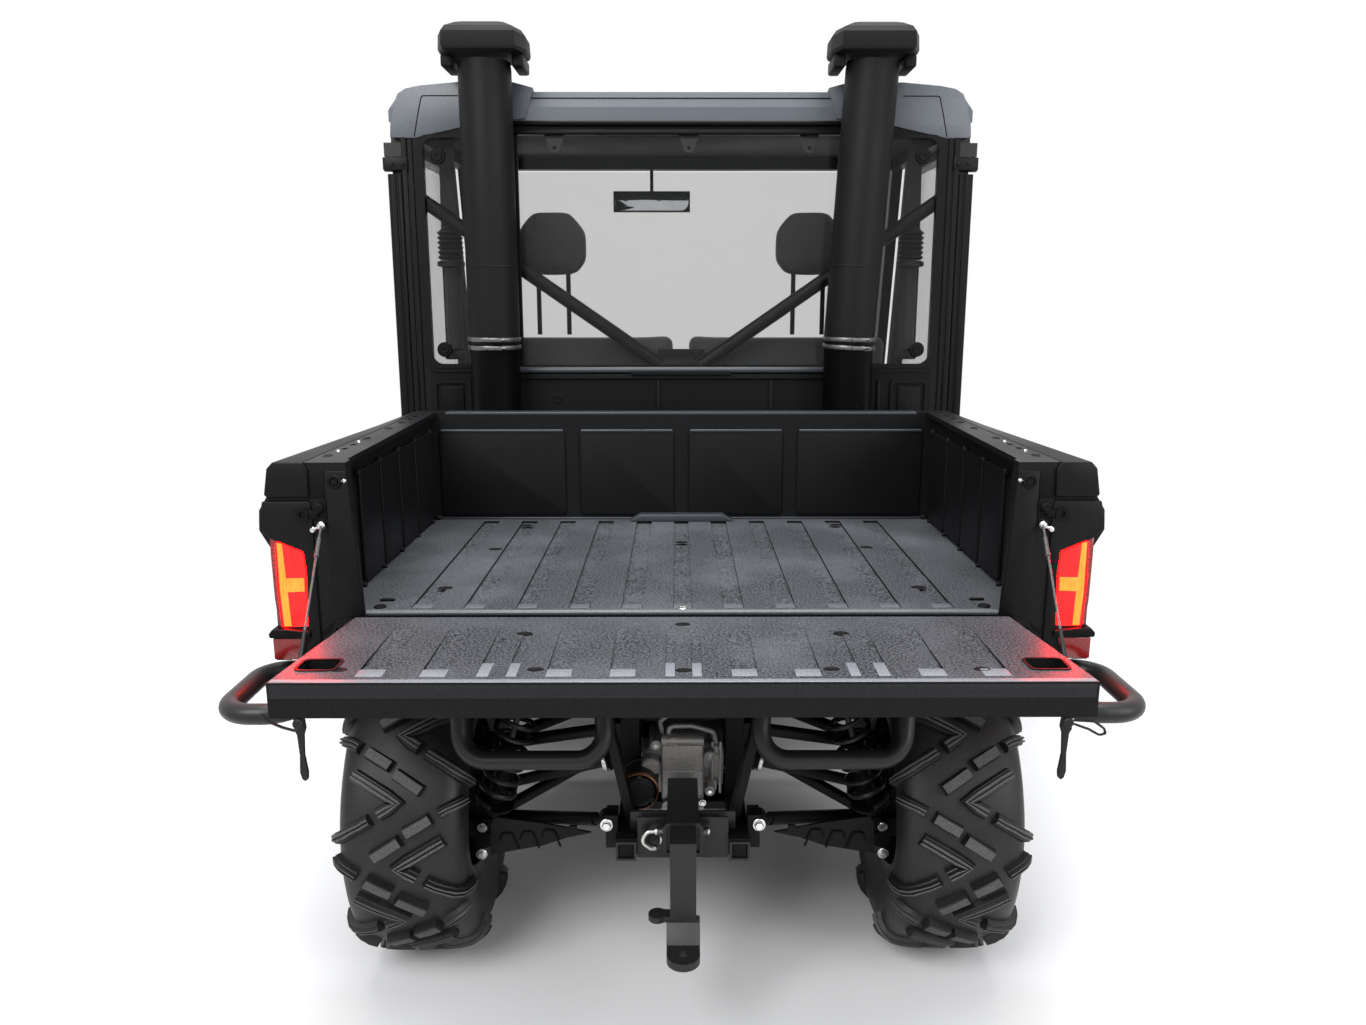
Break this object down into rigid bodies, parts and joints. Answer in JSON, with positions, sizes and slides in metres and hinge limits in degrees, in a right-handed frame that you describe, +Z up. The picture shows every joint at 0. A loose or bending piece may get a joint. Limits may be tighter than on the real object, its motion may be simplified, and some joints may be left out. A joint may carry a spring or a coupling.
{
  "type": "side by side utility vehicle",
  "caption": "Utility side by side with a closed cab on two rows of wheels, a tipping ribbed bed with an open tailgate, tube bumpers, intake snorkels, drawbar and long travel suspension",
  "frame": {"origin": "on the ground, at the middle of the bounding box in X and Y with the tailgate open", "axes": "+Z up, +Y forward along the vehicle, +X to its right"},
  "size_m": [1.7638, 3.341, 2.1728],
  "materials": {
    "frame_steel": "matte powder coat",
    "engine_block": "cast",
    "cast_aluminium": "cast",
    "knuckle_steel": "cast",
    "shaft_steel": "dark steel with rubber boots",
    "spring_black": "satin",
    "tyre": "matte",
    "rim_black": "satin",
    "bumper_steel": "matte powder coat",
    "drawbar_steel": "satin",
    "cab_steel": "matte powder coat",
    "cab_panel": "matte",
    "glass": "clear",
    "body_plastic": "satin",
    "roof_plastic": "satin",
    "floor_plastic": "matte",
    "seat_fabric": "woven",
    "dash_plastic": "matte",
    "lamp_clear": "clear",
    "bed_plastic": "moulded grain",
    "lamp_red": "lit lens",
    "cable_steel": "braided, sleeved in black",
    "strap_rubber": "matte",
    "wheel_grip": "soft grip",
    "strut_black": "satin",
    "strut_bright": "polished",
    "snorkel_plastic": "moulded"
  },
  "bodies": {
    "chassis": {"frame": "frame_steel", "engine": "engine_block", "gearboxes": "cast_aluminium", "rear_arms": "frame_steel", "rear_knuckles": "knuckle_steel", "half_shafts": "shaft_steel", "shocks": "spring_black", "front_arms": "frame_steel", "rear_bumper": "bumper_steel", "front_bumper": "bumper_steel", "hitch_receiver": "bumper_steel", "drawbar": "drawbar_steel", "cab_frame": "cab_steel", "cab_rear_panel": "cab_panel", "cab_glass": "glass", "roof": "roof_plastic", "floor_pans": "floor_plastic", "seat_base": "floor_plastic", "seat_cushions": "seat_fabric", "headrests": "seat_fabric", "dashboard": "dash_plastic", "side_panels": "bed_plastic", "front_body": "body_plastic", "headlamps": "lamp_clear", "snorkels": "snorkel_plastic"},
    "hood": {"hood": "body_plastic"},
    "door_l": {"door_l": "body_plastic", "door_glass_l": "glass"},
    "door_r": {"door_r": "body_plastic", "door_glass_r": "glass"},
    "bed": {"bed": "bed_plastic", "tail_lamps": "lamp_red", "tailgate_cables": "cable_steel"},
    "tailgate": {"tailgate": "bed_plastic", "tailgate_straps": "strap_rubber"},
    "wheel_rl": {"tyre_rl": "tyre", "rim_rl": "rim_black"},
    "wheel_rr": {"tyre_rr": "tyre", "rim_rr": "rim_black"},
    "wheel_fl": {"tyre_fl": "tyre", "rim_fl": "rim_black"},
    "wheel_fr": {"tyre_fr": "tyre", "rim_fr": "rim_black"},
    "knuckle_fl": {"knuckle_fl": "knuckle_steel"},
    "knuckle_fr": {"knuckle_fr": "knuckle_steel"},
    "steering_wheel": {"steering_wheel": "wheel_grip"},
    "tie_rods": {"tie_rods": "shaft_steel"},
    "strut_tube": {"strut_tube": "strut_black"},
    "strut_rod": {"strut_rod": "strut_bright"}
  },
  "joints": [
    {"name": "bed_tip", "type": "hinge", "parent": "chassis", "child": "bed", "pos_m": [0, -1.295, 0.745], "axis": [1, 0, 0], "range_deg": [0, 40]},
    {"name": "tailgate_drop", "type": "hinge", "parent": "bed", "child": "tailgate", "pos_m": [0, -1.323, 0.8], "axis": [-1, 0, 0], "range_deg": [0, 90], "deforming": ["tailgate_cables"]},
    {"name": "strut_swing", "type": "hinge", "parent": "chassis", "child": "strut_tube", "pos_m": [0, -1.115, 0.57], "axis": [1, 0, 0], "range_deg": [0, 27.6]},
    {"name": "strut_extend", "type": "slide", "parent": "strut_tube", "child": "strut_rod", "axis": [0, 0.5397, 0.8419], "range_m": [0, 0.162]},
    {"name": "door_r_swing", "type": "hinge", "parent": "chassis", "child": "door_r", "pos_m": [0.838, -0.198, 0.7], "axis": [0, 0, -1], "range_deg": [0, 70]},
    {"name": "door_l_swing", "type": "hinge", "parent": "chassis", "child": "door_l", "pos_m": [-0.838, -0.198, 0.7], "axis": [0, 0, 1], "range_deg": [0, 70]},
    {"name": "hood_lift", "type": "hinge", "parent": "chassis", "child": "hood", "pos_m": [0, 0.903, 1.17], "axis": [1, 0, 0], "range_deg": [0, 60]},
    {"name": "wheel_rl_spin", "type": "hinge", "parent": "chassis", "child": "wheel_rl", "pos_m": [-0.569, -1.09, 0.343], "axis": [-1, 0, 0], "continuous": true},
    {"name": "wheel_rr_spin", "type": "hinge", "parent": "chassis", "child": "wheel_rr", "pos_m": [0.569, -1.09, 0.343], "axis": [-1, 0, 0], "continuous": true},
    {"name": "wheel_fl_spin", "type": "hinge", "parent": "knuckle_fl", "child": "wheel_fl", "pos_m": [-0.569, 1.15, 0.343], "axis": [-1, 0, 0], "continuous": true},
    {"name": "wheel_fr_spin", "type": "hinge", "parent": "knuckle_fr", "child": "wheel_fr", "pos_m": [0.569, 1.15, 0.343], "axis": [-1, 0, 0], "continuous": true},
    {"name": "steering_turn", "type": "hinge", "parent": "chassis", "child": "steering_wheel", "pos_m": [-0.385, 0.39, 1.065], "axis": [0, -0.8192, 0.5736], "range_deg": [-540, 540]},
    {"name": "steer_fl", "type": "hinge", "parent": "chassis", "child": "knuckle_fl", "pos_m": [-0.505, 1.15, 0.343], "axis": [0, 0, 1], "range_deg": [-30.1, 30.1]},
    {"name": "steer_fr", "type": "hinge", "parent": "chassis", "child": "knuckle_fr", "pos_m": [0.505, 1.15, 0.343], "axis": [0, 0, 1], "range_deg": [-30.1, 30.1]},
    {"name": "rack_slide", "type": "slide", "parent": "chassis", "child": "tie_rods", "axis": [1, 0, 0], "range_m": [-0.0461, 0.0461]}
  ],
  "couplings": [
    {"joint": "strut_swing", "follows": "bed_tip", "ratio": 0.6852},
    {"joint": "strut_extend", "follows": "bed_tip", "m_per_rad": 0.23078},
    {"joint": "steer_fl", "follows": "steering_turn", "ratio": 0.055556},
    {"joint": "steer_fr", "follows": "steering_turn", "ratio": 0.055556},
    {"joint": "rack_slide", "follows": "steering_turn", "m_per_rad": 0.004881}
  ]
}
